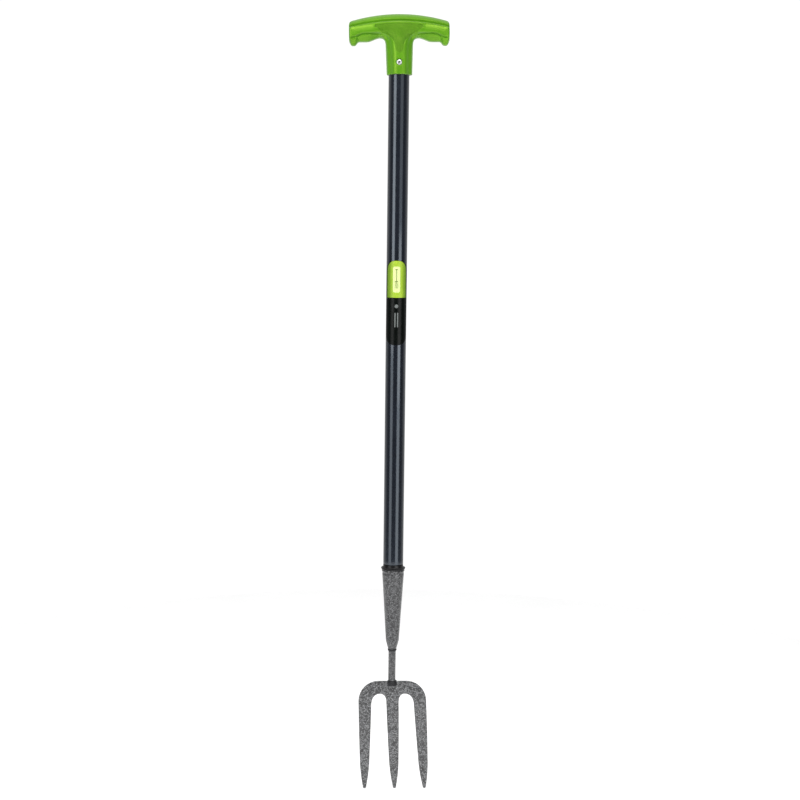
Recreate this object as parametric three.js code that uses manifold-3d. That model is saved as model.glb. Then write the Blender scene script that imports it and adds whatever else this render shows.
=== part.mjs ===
// Long-handled weeding fork: T-grip, steel tube, conical socket, cranked neck and a flat three-tine head.
// Units are millimetres. Z runs up the shaft axis, the front with the label and the grip rivet faces -Y,
// and Z = 0 is the level of the lowest tine tip.
import * as THREE from "three";
import { mergeVertices } from "three/addons/utils/BufferGeometryUtils.js";
import Module from "manifold-3d";

const wasm = await Module();
wasm.setup();

const GAP = 0.25;
const ROUND = 48;

// T-grip
const OVERALL = 978.8;
const BAR_LENGTH = 122.3;
const BAR_CROWN = 8.7;
const BAR_HEIGHT = 28.5;
const BAR_DEPTH = 33.4;
const BAR_END_DEPTH = 25;
const STEM_BOTTOM = 906.6;
const STEM_LOW_R = 15.7;
const STEM_TOP_R = 16.7;
const STEM_TOP = 952;
const GRIP_CANT_DEG = 1.0;
const GRIP_PIVOT = 936;
const BORE_TOP = 962;

// shaft
const TUBE_R = 12.75;
const TUBE_WALL = 1.2;
const TUBE_TOP = 960;
const TUBE_SHOULDER = 296.6;
const SPIGOT_TOP_R = 10.4;
const SPIGOT_END_R = 8.6;
const SPIGOT_END = 248;

// label
const LABEL_TOP = 681.2;
const LABEL_BOTTOM = 576.8;
const LABEL_THICK = 0.2;
const LABEL_SPAN_DEG = 145;
const LABEL_CORNER = 14;

// bush between tube and socket
const BUSH_TOP = 296.2;
const BUSH_LIP_TOP = 292.7;
const BUSH_LIP = 2.7;
const BUSH_LIP_R = 15.5;
const BUSH_SKIRT_END = 268;

// socket
const SOCKET_TOP = 289.9;
const SOCKET_SHOULDER = 199;
const SOCKET_BOTTOM = 185;
const SOCKET_TOP_R = 14.2;
const SOCKET_SHOULDER_R = 8.6;
const SOCKET_WALL = 1.4;
const SEAM_WIDTH = 0.7;
const SEAM_END = 214;
const SOCKET_RIVET_Z = 256;

// neck
const NECK_R = 4.75;
const NECK_TOP = 203;
const NECK_SET_BACK = 6;

// head
const HEAD_TOP = 139.8;
const HEAD_LENGTH = 139.86;
const HEAD_THICK = 3;
const HEAD_LEAN_DEG = 5.5;
const HEAD_CANT_DEG = 0.7;
const HEAD_SIDE_SHIFT = 0.7;
const HEAD_HALF = 43.8;
const SHOULDER_R = 26;
const CROTCH = 123.2;
const CROTCH_OFFSET = 16;
const TINE_SKEW_DEG = 1.2;
const TINE_SPACING_TIP = 38.8;
const TINE_SPACING_ROOT = 35.6;
const TINE_ROOT_HALF = 7.6;
const MIDDLE = 77;
const MIDDLE_HALF = 7.7;
const WAIST = 32;
const WAIST_HALF = 6;
const OGIVE = 15;
const OGIVE_HALF = 4.8;
const TIP_R = 1.9;

// grip rivet
const RIVET_Z = 920.7;
const RIVET_HEAD_R = 3.5;
const RIVET_SHANK_R = 2.1;
const MANDREL_R = 1.0;

const rad = THREE.MathUtils.degToRad;

function solid(geometry) {
  const bare = geometry.clone();
  bare.deleteAttribute("normal");
  bare.deleteAttribute("uv");
  const merged = mergeVertices(bare, 1e-4);
  return new wasm.Manifold(
    new wasm.Mesh({
      numProp: 3,
      vertProperties: merged.attributes.position.array,
      triVerts: new Uint32Array(merged.index.array),
    }),
  );
}

function part(name, body, color, roughness, metalness) {
  const raw = body.getMesh();
  const geometry = new THREE.BufferGeometry();
  geometry.setAttribute("position", new THREE.BufferAttribute(raw.vertProperties, 3));
  geometry.setIndex(new THREE.BufferAttribute(raw.triVerts, 1));
  const flat = geometry.toNonIndexed();
  flat.computeVertexNormals();
  const mesh = new THREE.Mesh(flat, new THREE.MeshStandardMaterial({ color, roughness, metalness }));
  mesh.name = name;
  return mesh;
}

// A solid of revolution about Z; profile points are [radius, z], from the lowest on the outside upwards.
function turned(points, segments = ROUND) {
  const profile = points.map(([r, z]) => new THREE.Vector2(r, z));
  return new THREE.LatheGeometry(profile, segments).rotateX(Math.PI / 2);
}

// A turned solid with its axis laid along Y, low z of the profile at the given y, growing towards -Y.
function turnedToFront(points, z, y, segments = 24) {
  return turned(points, segments).rotateX(Math.PI / 2).translate(0, y, z);
}

// An outline in the XZ plane, given depth along Y.
function slab(shape, yLow, yHigh, curveSegments = 10) {
  const geometry = new THREE.ExtrudeGeometry(shape, {
    depth: yHigh - yLow,
    bevelEnabled: false,
    curveSegments,
  });
  return geometry.rotateX(Math.PI / 2).translate(0, yHigh, 0);
}

function block(x0, x1, y0, y1, z0, z1) {
  const box = new THREE.BoxGeometry(x1 - x0, y1 - y0, z1 - z0);
  return box.translate((x0 + x1) / 2, (y0 + y1) / 2, (z0 + z1) / 2);
}

function roundedSection(halfX, halfY, corner) {
  const s = new THREE.Shape();
  s.moveTo(halfX - corner, -halfY);
  s.absarc(halfX - corner, corner - halfY, corner, -Math.PI / 2, 0, false);
  s.absarc(halfX - corner, halfY - corner, corner, 0, Math.PI / 2, false);
  s.absarc(corner - halfX, halfY - corner, corner, Math.PI / 2, Math.PI, false);
  s.absarc(corner - halfX, corner - halfY, corner, Math.PI, 1.5 * Math.PI, false);
  return s;
}

// Front outline of the T-grip's bar: shallow crown, rounded ends, finger lobes underneath.
function gripOutline() {
  const half = BAR_LENGTH / 2;
  const cornerZ = OVERALL - BAR_CROWN;
  const s = new THREE.Shape();
  s.moveTo(0, OVERALL);
  s.quadraticCurveTo(-half / 2, OVERALL, 2.6 - half, cornerZ + 1);
  s.quadraticCurveTo(-half, cornerZ, -half, cornerZ - 4);
  s.lineTo(0.3 - half, 950);
  s.quadraticCurveTo(1.4 - half, 942.2, 5.2 - half, 941.6);
  s.quadraticCurveTo(9 - half, 941.8, 12.4 - half, 946);
  s.quadraticCurveTo(-40, 946.4, -35, 947.6);
  s.bezierCurveTo(-30, 949, -28, 950.7, -24, 950.7);
  s.quadraticCurveTo(-17.5, 950, -16, 942);
  s.lineTo(16, 942);
  s.quadraticCurveTo(17.5, 950, 24, 950.7);
  s.bezierCurveTo(28, 950.7, 30, 949, 35, 947.6);
  s.quadraticCurveTo(40, 946.4, half - 12.4, 946);
  s.quadraticCurveTo(half - 9, 941.8, half - 5.2, 941.6);
  s.quadraticCurveTo(half - 1.4, 942.2, half - 0.3, 950);
  s.lineTo(half, cornerZ - 4);
  s.quadraticCurveTo(half, cornerZ, half - 2.6, cornerZ + 1);
  s.quadraticCurveTo(half / 2, OVERALL, 0, OVERALL);
  return s;
}

// Plan view of the bar: full depth over the stem, thinner towards the rounded ends.
function gripPlan() {
  const half = BAR_LENGTH / 2;
  const full = BAR_DEPTH / 2;
  const thin = BAR_END_DEPTH / 2;
  const s = new THREE.Shape();
  s.moveTo(0, -full);
  s.quadraticCurveTo(half * 0.6, -full, half - 5, -thin);
  s.quadraticCurveTo(half, -thin + 1, half, -thin + 6);
  s.lineTo(half, thin - 6);
  s.quadraticCurveTo(half, thin - 1, half - 5, thin);
  s.quadraticCurveTo(half * 0.6, full, 0, full);
  s.quadraticCurveTo(-half * 0.6, full, 5 - half, thin);
  s.quadraticCurveTo(-half, thin - 1, -half, thin - 6);
  s.lineTo(-half, 6 - thin);
  s.quadraticCurveTo(-half, 1 - thin, 5 - half, -thin);
  s.quadraticCurveTo(-half * 0.6, -full, 0, -full);
  return s;
}

function gripBar() {
  const half = BAR_LENGTH / 2;
  const centreZ = OVERALL - BAR_HEIGHT / 2;
  const path = new THREE.QuadraticBezierCurve3(
    new THREE.Vector3(-half - 4, 0, centreZ - BAR_CROWN),
    new THREE.Vector3(0, 0, centreZ + BAR_CROWN),
    new THREE.Vector3(half + 4, 0, centreZ - BAR_CROWN),
  );
  const bar = new THREE.ExtrudeGeometry(roundedSection(BAR_DEPTH / 2, BAR_HEIGHT / 2, 11.5), {
    steps: 20,
    curveSegments: 7,
    extrudePath: path,
  });
  const plan = new THREE.ExtrudeGeometry(gripPlan(), { depth: 60, bevelEnabled: false, curveSegments: 8 });
  return solid(bar)
    .intersect(solid(slab(gripOutline(), -20, 20, 8)))
    .intersect(solid(plan.translate(0, 0, 930)));
}

function rivetHole(radius, yFrom, yTo, z) {
  const length = yTo - yFrom;
  return solid(
    new THREE.CylinderGeometry(radius, radius, length, 24).translate(0, (yFrom + yTo) / 2, z),
  );
}

function makeGrip() {
  const stem = solid(
    turned([
      [0, STEM_BOTTOM],
      [STEM_LOW_R - 1.8, STEM_BOTTOM],
      [STEM_LOW_R - 0.5, STEM_BOTTOM + 0.5],
      [STEM_LOW_R, STEM_BOTTOM + 1.8],
      [STEM_LOW_R + 0.1, STEM_BOTTOM + 20],
      [STEM_TOP_R, STEM_TOP - 6],
      [STEM_TOP_R, STEM_TOP + 8],
      [STEM_TOP_R - 2.4, STEM_TOP + 15],
      [0, STEM_TOP + 17],
    ]),
  );
  const canted = gripBar()
    .add(stem)
    .translate([0, 0, -GRIP_PIVOT])
    .rotate([0, -GRIP_CANT_DEG, 0])
    .translate([0, 0, GRIP_PIVOT]);
  const bore = solid(
    turned([
      [0, STEM_BOTTOM - 2],
      [TUBE_R + GAP, STEM_BOTTOM - 2],
      [TUBE_R + GAP, BORE_TOP],
      [0, BORE_TOP],
    ]),
  );
  const pocket = rivetHole(RIVET_HEAD_R + 0.5, -18, 0.9 - STEM_LOW_R, RIVET_Z);
  const hole = rivetHole(RIVET_SHANK_R + GAP, -18, -9, RIVET_Z);
  return canted.subtract(bore).subtract(pocket).subtract(hole);
}

// A blind rivet pointing along -Y: domed head with a centre hole, shank, and the bulb set inside the tube.
function makeRivetBody(z, seat, reach, headR) {
  return solid(
    turnedToFront(
      [
        [MANDREL_R + GAP, 0],
        [RIVET_SHANK_R + 0.5, 0],
        [RIVET_SHANK_R + 0.9, 1],
        [RIVET_SHANK_R + 0.6, 2],
        [RIVET_SHANK_R, 2.4],
        [RIVET_SHANK_R, reach],
        [headR, reach],
        [headR, reach + 0.35],
        [headR * 0.75, reach + 0.95],
        [headR * 0.45, reach + 1.15],
        [MANDREL_R + GAP, reach + 1.15],
        [MANDREL_R + GAP, 0],
      ],
      z,
      reach - seat,
    ),
  );
}

function makeMandrel(z, seat, reach) {
  return solid(
    turnedToFront(
      [
        [0, -2.6],
        [1.3, -2.4],
        [1.75, -1.4],
        [1.5, -GAP],
        [MANDREL_R, -GAP],
        [MANDREL_R, reach + 0.5],
        [0, reach + 0.7],
      ],
      z,
      reach - seat,
    ),
  );
}

function spigotRadius(z) {
  const t = (z - SPIGOT_END) / (SOCKET_TOP - SPIGOT_END);
  return SPIGOT_END_R + t * (SPIGOT_TOP_R - SPIGOT_END_R);
}

function socketRadius(z) {
  const t = (z - SOCKET_SHOULDER) / (SOCKET_TOP - SOCKET_SHOULDER);
  return SOCKET_SHOULDER_R + t * (SOCKET_TOP_R - SOCKET_SHOULDER_R);
}

function makeTube() {
  const inner = TUBE_R - TUBE_WALL;
  const tube = solid(
    turned([
      [spigotRadius(SPIGOT_END), SPIGOT_END],
      [spigotRadius(TUBE_SHOULDER), TUBE_SHOULDER],
      [TUBE_R - 0.8, TUBE_SHOULDER + 0.3],
      [TUBE_R, TUBE_SHOULDER + 2],
      [TUBE_R, TUBE_TOP],
      [inner, TUBE_TOP],
      [inner, TUBE_SHOULDER + 4],
      [spigotRadius(TUBE_SHOULDER - 2) - TUBE_WALL, TUBE_SHOULDER - 2],
      [spigotRadius(SPIGOT_END) - TUBE_WALL, SPIGOT_END],
      [spigotRadius(SPIGOT_END), SPIGOT_END],
    ]),
  );
  return tube
    .subtract(rivetHole(RIVET_SHANK_R + GAP, -18, -9, RIVET_Z))
    .subtract(rivetHole(RIVET_SHANK_R + GAP, 5, 16, SOCKET_RIVET_Z));
}

// A thin sticker bent round the front of the tube, its corners rounded.
function makeLabel() {
  const inner = TUBE_R + 0.1;
  const outer = inner + LABEL_THICK;
  const shell = solid(
    turned(
      [
        [outer, LABEL_BOTTOM],
        [outer, LABEL_TOP],
        [inner, LABEL_TOP],
        [inner, LABEL_BOTTOM],
        [outer, LABEL_BOTTOM],
      ],
      96,
    ),
  );
  const edgeAngle = rad(LABEL_SPAN_DEG / 2);
  const edgeX = outer * Math.sin(edgeAngle);
  const cornerX = outer * Math.sin(edgeAngle - LABEL_CORNER / outer);
  const dx = edgeX - cornerX;
  const s = new THREE.Shape();
  s.moveTo(cornerX, LABEL_BOTTOM);
  s.absellipse(cornerX, LABEL_BOTTOM + LABEL_CORNER, dx, LABEL_CORNER, -Math.PI / 2, 0, false);
  s.absellipse(cornerX, LABEL_TOP - LABEL_CORNER, dx, LABEL_CORNER, 0, Math.PI / 2, false);
  s.absellipse(-cornerX, LABEL_TOP - LABEL_CORNER, dx, LABEL_CORNER, Math.PI / 2, Math.PI, false);
  s.absellipse(-cornerX, LABEL_BOTTOM + LABEL_CORNER, dx, LABEL_CORNER, Math.PI, 1.5 * Math.PI, false);
  const edgeY = -outer * Math.cos(edgeAngle);
  return shell.intersect(solid(slab(s, -20, edgeY, 8)));
}

// Black plastic bush: a collar under the tube, a lip over the socket mouth and a tapered skirt inside it.
function makeBush() {
  const under = BUSH_LIP_TOP - BUSH_LIP;
  const skirtR = (z) => socketRadius(z) - SOCKET_WALL - GAP;
  const boreR = (z) => spigotRadius(z) + GAP;
  return solid(
    turned([
      [skirtR(BUSH_SKIRT_END), BUSH_SKIRT_END],
      [skirtR(under), under],
      [BUSH_LIP_R - 1, under],
      [BUSH_LIP_R, under + 0.8],
      [BUSH_LIP_R, under + 1.8],
      [TUBE_R + 0.6, BUSH_LIP_TOP],
      [TUBE_R, BUSH_LIP_TOP + 0.8],
      [TUBE_R - 0.2, BUSH_TOP],
      [boreR(BUSH_TOP), BUSH_TOP],
      [boreR(BUSH_SKIRT_END), BUSH_SKIRT_END],
      [skirtR(BUSH_SKIRT_END), BUSH_SKIRT_END],
    ]),
  );
}

// Rolled conical socket, open at the mouth, with its seam at the back and a beaded rim.
function makeSocket() {
  const foot = NECK_R + GAP;
  const shell = solid(
    turned([
      [foot + 0.5, SOCKET_BOTTOM],
      [foot + 1.7, SOCKET_BOTTOM + 4.5],
      [SOCKET_SHOULDER_R - 0.9, SOCKET_SHOULDER - 4],
      [SOCKET_SHOULDER_R, SOCKET_SHOULDER + 1],
      [socketRadius(SOCKET_TOP - 4) - 0.15, SOCKET_TOP - 4],
      [socketRadius(SOCKET_TOP - 2), SOCKET_TOP - 2.6],
      [socketRadius(SOCKET_TOP) + 0.3, SOCKET_TOP - 1.4],
      [socketRadius(SOCKET_TOP) - 0.1, SOCKET_TOP - 0.3],
      [socketRadius(SOCKET_TOP) - SOCKET_WALL, SOCKET_TOP - 0.3],
      [SOCKET_SHOULDER_R - SOCKET_WALL, SOCKET_SHOULDER + 1],
      [foot, SOCKET_SHOULDER - 5],
      [foot, SOCKET_BOTTOM],
      [foot + 0.5, SOCKET_BOTTOM],
    ]),
  );
  const seam = solid(block(-SEAM_WIDTH / 2, SEAM_WIDTH / 2, 0, 20, SEAM_END, SOCKET_TOP + 2));
  return shell
    .subtract(seam)
    .subtract(rivetHole(RIVET_SHANK_R + GAP, 5, 16, SOCKET_RIVET_Z));
}

// Round bar neck: down out of the socket, then set back to the top edge of the head.
function makeNeck() {
  const path = new THREE.CurvePath();
  const foot = HEAD_TOP + 0.6;
  const a = new THREE.Vector3(0, 0, NECK_TOP);
  const b = new THREE.Vector3(0, 0, 180);
  const c = new THREE.Vector3(0, NECK_SET_BACK, foot + 8);
  const d = new THREE.Vector3(0, NECK_SET_BACK, foot);
  path.add(new THREE.LineCurve3(a, b));
  const pullB = new THREE.Vector3(0, 0, 168);
  const pullC = new THREE.Vector3(0, NECK_SET_BACK, 160);
  path.add(new THREE.CubicBezierCurve3(b, pullB, pullC, c));
  path.add(new THREE.LineCurve3(c, d));
  const section = new THREE.Shape();
  section.absarc(0, 0, NECK_R, 0, 2 * Math.PI, false);
  return solid(
    new THREE.ExtrudeGeometry(section, { steps: 28, curveSegments: 12, extrudePath: path }),
  );
}

// Ring of weld metal where the neck leaves the socket.
function makeSocketWeld() {
  const inner = NECK_R + GAP;
  const top = SOCKET_BOTTOM - GAP;
  return solid(
    turned([
      [inner, top - 2.6],
      [inner + 0.35, top - 2.4],
      [inner + 0.75, top - 1.3],
      [inner + 0.8, top - 0.4],
      [inner + 0.5, top],
      [inner, top],
      [inner, top - 2.6],
    ]),
  );
}

// Moves head-plane geometry, drawn upright in the XZ plane, to its place under the neck.
function placeHead(geometry) {
  return geometry
    .translate(0, 0, -HEAD_TOP)
    .rotateY(rad(-HEAD_CANT_DEG))
    .rotateX(rad(-HEAD_LEAN_DEG))
    .translate(HEAD_SIDE_SHIFT, NECK_SET_BACK, HEAD_TOP);
}

// Sideways run of the tines, which are not quite square to the web.
const skew = (z) => Math.tan(rad(TINE_SKEW_DEG)) * (CROTCH - z);

// Runs down one edge of a tine, round its point and up the other edge; centre gives its middle line.
function tine(s, centre, end) {
  const low = HEAD_TOP - HEAD_LENGTH;
  s.quadraticCurveTo(centre(MIDDLE) - MIDDLE_HALF, MIDDLE, centre(WAIST) - WAIST_HALF, WAIST);
  s.quadraticCurveTo(centre(OGIVE) - OGIVE_HALF, OGIVE, centre(low) - TIP_R, low + 1);
  s.quadraticCurveTo(centre(low) - 0.8 * TIP_R, low, centre(low), low);
  s.quadraticCurveTo(centre(low) + 0.8 * TIP_R, low, centre(low) + TIP_R, low + 1);
  s.quadraticCurveTo(centre(OGIVE) + OGIVE_HALF, OGIVE, centre(WAIST) + WAIST_HALF, WAIST);
  s.quadraticCurveTo(centre(MIDDLE) + MIDDLE_HALF, MIDDLE, ...end);
}

// The two feet of the arch between the centre tine and the tine on the given side, from left to right.
function crotchFeet(side) {
  const inner = [side * (TINE_ROOT_HALF + 0.4) + skew(CROTCH - 11), CROTCH - 11];
  const outer = [side * (TINE_SPACING_ROOT - TINE_ROOT_HALF - 0.4) + skew(CROTCH - 16), CROTCH - 16];
  return side < 0 ? [outer, inner] : [inner, outer];
}

// The arch between two tines, drawn from left to right; its top lies nearer the centre tine.
function crotch(s, side) {
  const apex = [side * CROTCH_OFFSET, CROTCH];
  const [start, end] = crotchFeet(side);
  const ease = 0.62;
  const turn = (from, to) => [from[0], from[1] + ease * (to[1] - from[1])];
  const level = (from, to) => [to[0] + ease * (from[0] - to[0]), to[1]];
  s.bezierCurveTo(...turn(start, apex), ...level(start, apex), ...apex);
  s.bezierCurveTo(...level(end, apex), ...turn(end, apex), ...end);
}

function headOutline() {
  const slope = (TINE_SPACING_TIP - TINE_SPACING_ROOT) / 118;
  const centre = (side) => (z) => side * (TINE_SPACING_TIP - slope * z) + skew(z);
  const shoulderX = HEAD_HALF - SHOULDER_R;
  const shoulderZ = HEAD_TOP - SHOULDER_R;
  const s = new THREE.Shape();
  s.moveTo(-shoulderX, HEAD_TOP);
  s.absarc(-shoulderX, shoulderZ, SHOULDER_R, Math.PI / 2, Math.PI, false);
  tine(s, centre(-1), crotchFeet(-1)[0]);
  crotch(s, -1);
  tine(s, centre(0), crotchFeet(1)[0]);
  crotch(s, 1);
  tine(s, centre(1), [HEAD_HALF, shoulderZ]);
  s.absarc(shoulderX, shoulderZ, SHOULDER_R, 0, Math.PI / 2, false);
  return s;
}

function makeHead() {
  return solid(placeHead(slab(headOutline(), -HEAD_THICK / 2, HEAD_THICK / 2, 8)));
}

// Weld that saddles the head's top edge and closes round the end of the neck.
function makeHeadWeld() {
  const lump = solid(
    new THREE.SphereGeometry(1, 28, 16).scale(6.7, 6.3, 6).translate(0.3, NECK_SET_BACK, HEAD_TOP - 2),
  );
  const plate = placeHead(block(-30, 30, -HEAD_THICK / 2 - GAP, HEAD_THICK / 2 + GAP, 100, HEAD_TOP + GAP));
  const bar = new THREE.CylinderGeometry(NECK_R + GAP, NECK_R + GAP, 20, 32);
  bar.rotateX(Math.PI / 2).translate(0, NECK_SET_BACK, HEAD_TOP + 10.4);
  return lump.subtract(solid(plate)).subtract(solid(bar));
}

const backFacing = (body) => body.rotate([0, 0, 180]);

// Distance from the axis to the underside of each rivet head, and how far its shank reaches inwards.
const GRIP_SEAT = STEM_LOW_R - 0.8;
const GRIP_REACH = 6.4;
const SOCKET_SEAT = socketRadius(SOCKET_RIVET_Z) + 0.2;
const SOCKET_REACH = 7.3;
const SOCKET_HEAD_R = 3.2;

const gripRivet = makeRivetBody(RIVET_Z, GRIP_SEAT, GRIP_REACH, RIVET_HEAD_R);
const gripMandrel = makeMandrel(RIVET_Z, GRIP_SEAT, GRIP_REACH);
const socketRivet = backFacing(makeRivetBody(SOCKET_RIVET_Z, SOCKET_SEAT, SOCKET_REACH, SOCKET_HEAD_R));
const socketMandrel = backFacing(makeMandrel(SOCKET_RIVET_Z, SOCKET_SEAT, SOCKET_REACH));

const fork = new THREE.Group();
fork.name = "weeding_fork";
fork.add(
  part("t_grip", makeGrip(), 0x6fae32, 0.45, 0),
  part("grip_rivet_body", gripRivet, 0xd6d8da, 0.3, 1),
  part("grip_rivet_mandrel", gripMandrel, 0x55585c, 0.45, 1),
  part("shaft_tube", makeTube(), 0x1f222b, 0.3, 0.2),
  part("shaft_label", makeLabel(), 0x9ac22a, 0.4, 0),
  part("shaft_bush", makeBush(), 0x101113, 0.5, 0),
  part("socket", makeSocket(), 0x6b6d72, 0.5, 0.5),
  part("socket_rivet_body", socketRivet, 0xd6d8da, 0.3, 1),
  part("socket_rivet_mandrel", socketMandrel, 0x55585c, 0.45, 1),
  part("neck", makeNeck(), 0x6b6d72, 0.5, 0.5),
  part("socket_weld", makeSocketWeld(), 0x4a4c50, 0.6, 0.5),
  part("fork_head", makeHead(), 0x6b6d72, 0.5, 0.5),
  part("head_weld", makeHeadWeld(), 0x4a4c50, 0.6, 0.5),
);

export default fork;
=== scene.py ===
"""Looks of the long-handled weeding fork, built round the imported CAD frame.

Shapes are worked out in millimetres and written to Blender in metres. Z runs up the shaft axis and the
front, with the label and the grip rivet, faces -Y.
"""

import math

import bpy
import numpy as np
from mathutils import Matrix, Vector


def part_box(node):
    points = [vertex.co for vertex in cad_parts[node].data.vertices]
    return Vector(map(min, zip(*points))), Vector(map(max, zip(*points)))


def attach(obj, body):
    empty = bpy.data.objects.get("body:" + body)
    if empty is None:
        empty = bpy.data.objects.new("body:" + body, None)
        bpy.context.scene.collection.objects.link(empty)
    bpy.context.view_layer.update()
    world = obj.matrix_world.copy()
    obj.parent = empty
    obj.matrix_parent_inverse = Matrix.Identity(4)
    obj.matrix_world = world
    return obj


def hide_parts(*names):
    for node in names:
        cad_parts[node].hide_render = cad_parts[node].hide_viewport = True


MM = 0.001

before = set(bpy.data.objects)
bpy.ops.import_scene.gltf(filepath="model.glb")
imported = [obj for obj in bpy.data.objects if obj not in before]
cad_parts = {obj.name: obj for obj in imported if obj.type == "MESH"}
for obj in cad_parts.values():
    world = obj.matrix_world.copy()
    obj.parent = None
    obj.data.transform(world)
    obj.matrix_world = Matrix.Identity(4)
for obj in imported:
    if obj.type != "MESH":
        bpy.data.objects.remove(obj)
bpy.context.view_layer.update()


# ---------------------------------------------------------------- sizes, in millimetres

def cad_box(node):
    """Lowest and highest corner of a CAD node in millimetres."""
    low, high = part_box(node)
    return np.array(low) / MM, np.array(high) / MM


GRIP_LOW, GRIP_HIGH = cad_box("t_grip")
TUBE_LOW, TUBE_HIGH = cad_box("shaft_tube")
LABEL_LOW, LABEL_HIGH = cad_box("shaft_label")
BUSH_LOW, BUSH_HIGH = cad_box("shaft_bush")
SOCKET_LOW, SOCKET_HIGH = cad_box("socket")
NECK_HIGH = cad_box("neck")[1]

TOP = GRIP_HIGH[2]
BAR_HALF = (GRIP_HIGH[0] - GRIP_LOW[0]) / 2
STEM_BOTTOM = 906.6
TUBE_R = TUBE_HIGH[0]

# grip
GRIP_CANT = math.radians(1.0)
GRIP_PIVOT = 936
BAR_CROWN = 8.7
BAR_DEPTH = 14.9
BAR_END_DEPTH = 12.5
BAR_CORNER = 11.5
STEM_LOW_R = 15.65
STEM_FLARE = 0.031
BORE_R = TUBE_R + 0.2
BORE_TOP = TOP - 18
GRIP_RIVET_Z = 920.7
GRIP_RIVET_REACH = 6.4
GRIP_RIVET_HEAD_R = 3.4
RIVET_HOLE_R = 2.3
POCKET_R = 4.3
POCKET_FLOOR = 14.8
PANEL_HALF = 29.2
PANEL_LOW = 956
PANEL_TIP = 930.5
PANEL_DEPTH = 1.1
GROOVE_DEPTH = 2.7
LEDGE_Z = 955.4
LOBE_DEPTH = 1.6
UNDERCUT_DEPTH = 1.7
SCOOP_DEPTH = 0.9
FLUTE_DEPTH = 1.2

# shaft and label
TUBE_WALL = 1.2
TUBE_SHOULDER = BUSH_HIGH[2] + 0.4
LABEL_R = TUBE_R + 0.1
LABEL_THICK = 0.18
LABEL_HALF_DEG = 72.4
LABEL_CORNER = 14
LABEL_SPLIT = 635.6
PRINT_HALF = 13.5
PRINT_CORNER = 12

# socket
SOCKET_SHOULDER = 199
SOCKET_SHOULDER_R = 8.6
SOCKET_TOP_R = 14.2
SOCKET_WALL = 1.4
SOCKET_RIVET_Z = 256
SOCKET_RIVET_REACH = 7.3
SOCKET_RIVET_HEAD_R = 3.2
SEAM_END = 214
SPIGOT_TOP_R = 10.4
SPIGOT_END_R = 8.6

# neck and head
NECK_R = 4.75
NECK_SET_BACK = 6
NECK_BEND_TOP = 180
NECK_HANDLE_TOP, NECK_HANDLE_LOW = 168, 160
HEAD_TOP = 139.8
HEAD_LENGTH = 139.86
HEAD_THICK = 3
TIP_THINNING = 0.75
TIP_THIN_TO = 26
HEAD_LEAN = math.radians(5.5)
HEAD_CANT = math.radians(0.7)
HEAD_SIDE_SHIFT = 0.7
HEAD_HALF = 43.8
SHOULDER_R = 26
CROTCH = 123.2
CROTCH_OFFSET = 16
TINE_SKEW = math.tan(math.radians(1.2))
TINE_SPACING_TIP = 38.8
TINE_SPACING_ROOT = 35.6
TINE_SPACING_RUN = 118
TINE_ROOT_HALF = 7.6
MIDDLE, MIDDLE_HALF = 77, 7.7
WAIST, WAIST_HALF = 32, 6
OGIVE, OGIVE_HALF = 15, 4.8
TIP_R = 1.9

FLOOR_R = 1000


# ---------------------------------------------------------------- small numeric tools

def smoothstep(low, high, x):
    """0 at low and 1 at high with an easy run between them; it falls where low is above high."""
    t = np.clip((x - low) / (high - low), 0, 1)
    return t * t * (3 - 2 * t)


def smooth_min(a, b, k):
    """The smaller of two fields, blended where they differ by less than k."""
    h = np.maximum(k - np.abs(a - b), 0) / k
    return np.minimum(a, b) - h * h * k / 4


def smooth_max(a, b, k):
    return -smooth_min(-a, -b, k)


def rounded_box_field(a, half_a, b, half_b, radius):
    """Distance to a rounded rectangle in two coordinates already made positive."""
    qa = a - (half_a - radius)
    qb = b - (half_b - radius)
    outside = np.hypot(np.maximum(qa, 0), np.maximum(qb, 0))
    return outside + np.minimum(np.maximum(qa, qb), 0) - radius


def fillet(points, radii, steps=6):
    """A polyline with its inner corners rounded; radii is one number, or one per point."""
    pts = [Vector((p[0], p[1])) for p in points]
    out = [pts[0]]
    for i in range(1, len(pts) - 1):
        r = radii[i] if isinstance(radii, (list, tuple)) else radii
        back = pts[i - 1] - pts[i]
        on = pts[i + 1] - pts[i]
        cut = min(r, 0.49 * back.length, 0.49 * on.length)
        if cut < 1e-4:
            out.append(pts[i])
            continue
        a = pts[i] + back.normalized() * cut
        b = pts[i] + on.normalized() * cut
        for s in range(steps + 1):
            t = s / steps
            out.append(a * (1 - t) ** 2 + pts[i] * 2 * t * (1 - t) + b * t * t)
    out.append(pts[-1])
    return [(p.x, p.y) for p in out]


# ---------------------------------------------------------------- mesh builders

def mesh_object(name, points, faces, sharp_deg=None):
    """A smooth-shaded mesh object from points in millimetres and faces of any length."""
    mesh = bpy.data.meshes.new(name)
    points = np.asarray(points, float) * MM
    if isinstance(faces, np.ndarray):
        count = len(faces)
        mesh.vertices.add(len(points))
        mesh.vertices.foreach_set("co", points.astype(np.float32).ravel())
        mesh.loops.add(faces.size)
        mesh.loops.foreach_set("vertex_index", faces.astype(np.int32).ravel())
        mesh.polygons.add(count)
        mesh.polygons.foreach_set("loop_start", np.arange(count, dtype=np.int32) * faces.shape[1])
        mesh.update(calc_edges=True)
    else:
        mesh.from_pydata(points.tolist(), [], faces)
    mesh.validate()
    mesh.shade_smooth()
    if sharp_deg is not None:
        mesh.set_sharp_from_angle(angle=math.radians(sharp_deg))
    obj = bpy.data.objects.new(name, mesh)
    bpy.context.scene.collection.objects.link(obj)
    return obj


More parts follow.
